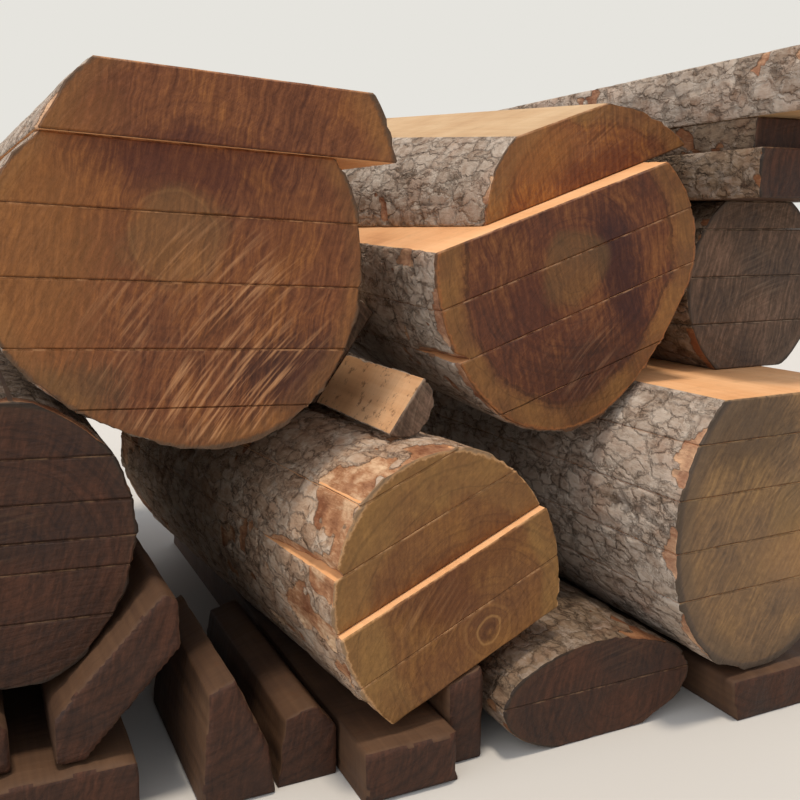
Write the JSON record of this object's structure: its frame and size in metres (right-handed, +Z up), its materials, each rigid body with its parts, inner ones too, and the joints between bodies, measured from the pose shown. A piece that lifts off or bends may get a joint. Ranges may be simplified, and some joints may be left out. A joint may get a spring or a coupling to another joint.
{
  "type": "heap of sawn logs",
  "caption": "Heap of logs sawn through into boards and restacked in log order, with bark left on their edges, lying on offcut bearers.",
  "frame": {"origin": "centre of the heap's footprint, on the floor it lies on", "axes": "+Z up, +Y back along the logs, +X to the right as seen from the logs' front ends"},
  "size_m": [1.3399, 1.3014, 0.8668],
  "materials": {
    "red_wood": "fresh sawn end grain with bark edges",
    "tan_wood": "fresh sawn end grain with bark edges",
    "grey_wood": "sawn wood with grey bark edges",
    "dark_wood": "sawn wood with dark bark edges"
  },
  "bodies": {
    "root": {"big_left_log_board_1": "red_wood", "big_left_log_board_2": "red_wood", "big_left_log_board_3": "red_wood", "big_left_log_board_4": "red_wood", "big_left_log_bottom_slab": "red_wood", "big_left_log_loose_slab": "red_wood", "dark_flitch": "grey_wood", "front_log_board_1": "tan_wood", "front_log_board_2": "tan_wood", "front_log_board_3": "tan_wood", "front_log_board_4": "tan_wood", "front_log_top_slab": "tan_wood", "front_prop": "dark_wood", "ground_plank": "dark_wood", "ground_slab": "dark_wood", "ground_sleeper": "dark_wood", "half_log_bottom": "dark_wood", "half_log_top": "dark_wood", "left_chock": "dark_wood", "lower_left_log_board_1": "dark_wood", "lower_left_log_board_2": "dark_wood", "lower_left_log_board_3": "dark_wood", "lower_left_log_board_4": "dark_wood", "lower_left_log_bottom_slab": "dark_wood", "lower_left_log_top_slab": "dark_wood", "middle_log_board_1": "red_wood", "middle_log_board_2": "red_wood", "middle_log_board_3": "red_wood", "middle_log_bottom_slab": "red_wood", "middle_log_loose_slab": "red_wood", "offcut_left": "dark_wood", "offcut_right": "dark_wood", "right_chock": "dark_wood", "right_log_board_1": "grey_wood", "right_log_board_2": "grey_wood", "right_log_board_3": "grey_wood", "right_log_board_4": "grey_wood", "right_log_bottom_slab": "grey_wood", "thin_flitch": "grey_wood", "top_flitch": "grey_wood", "upper_right_log_board_1": "grey_wood", "upper_right_log_board_2": "grey_wood", "upper_right_log_board_3": "grey_wood", "upper_right_log_board_4": "grey_wood", "wedged_log_lower_half": "red_wood", "wedged_log_upper_half": "red_wood"}
  },
  "joints": []
}
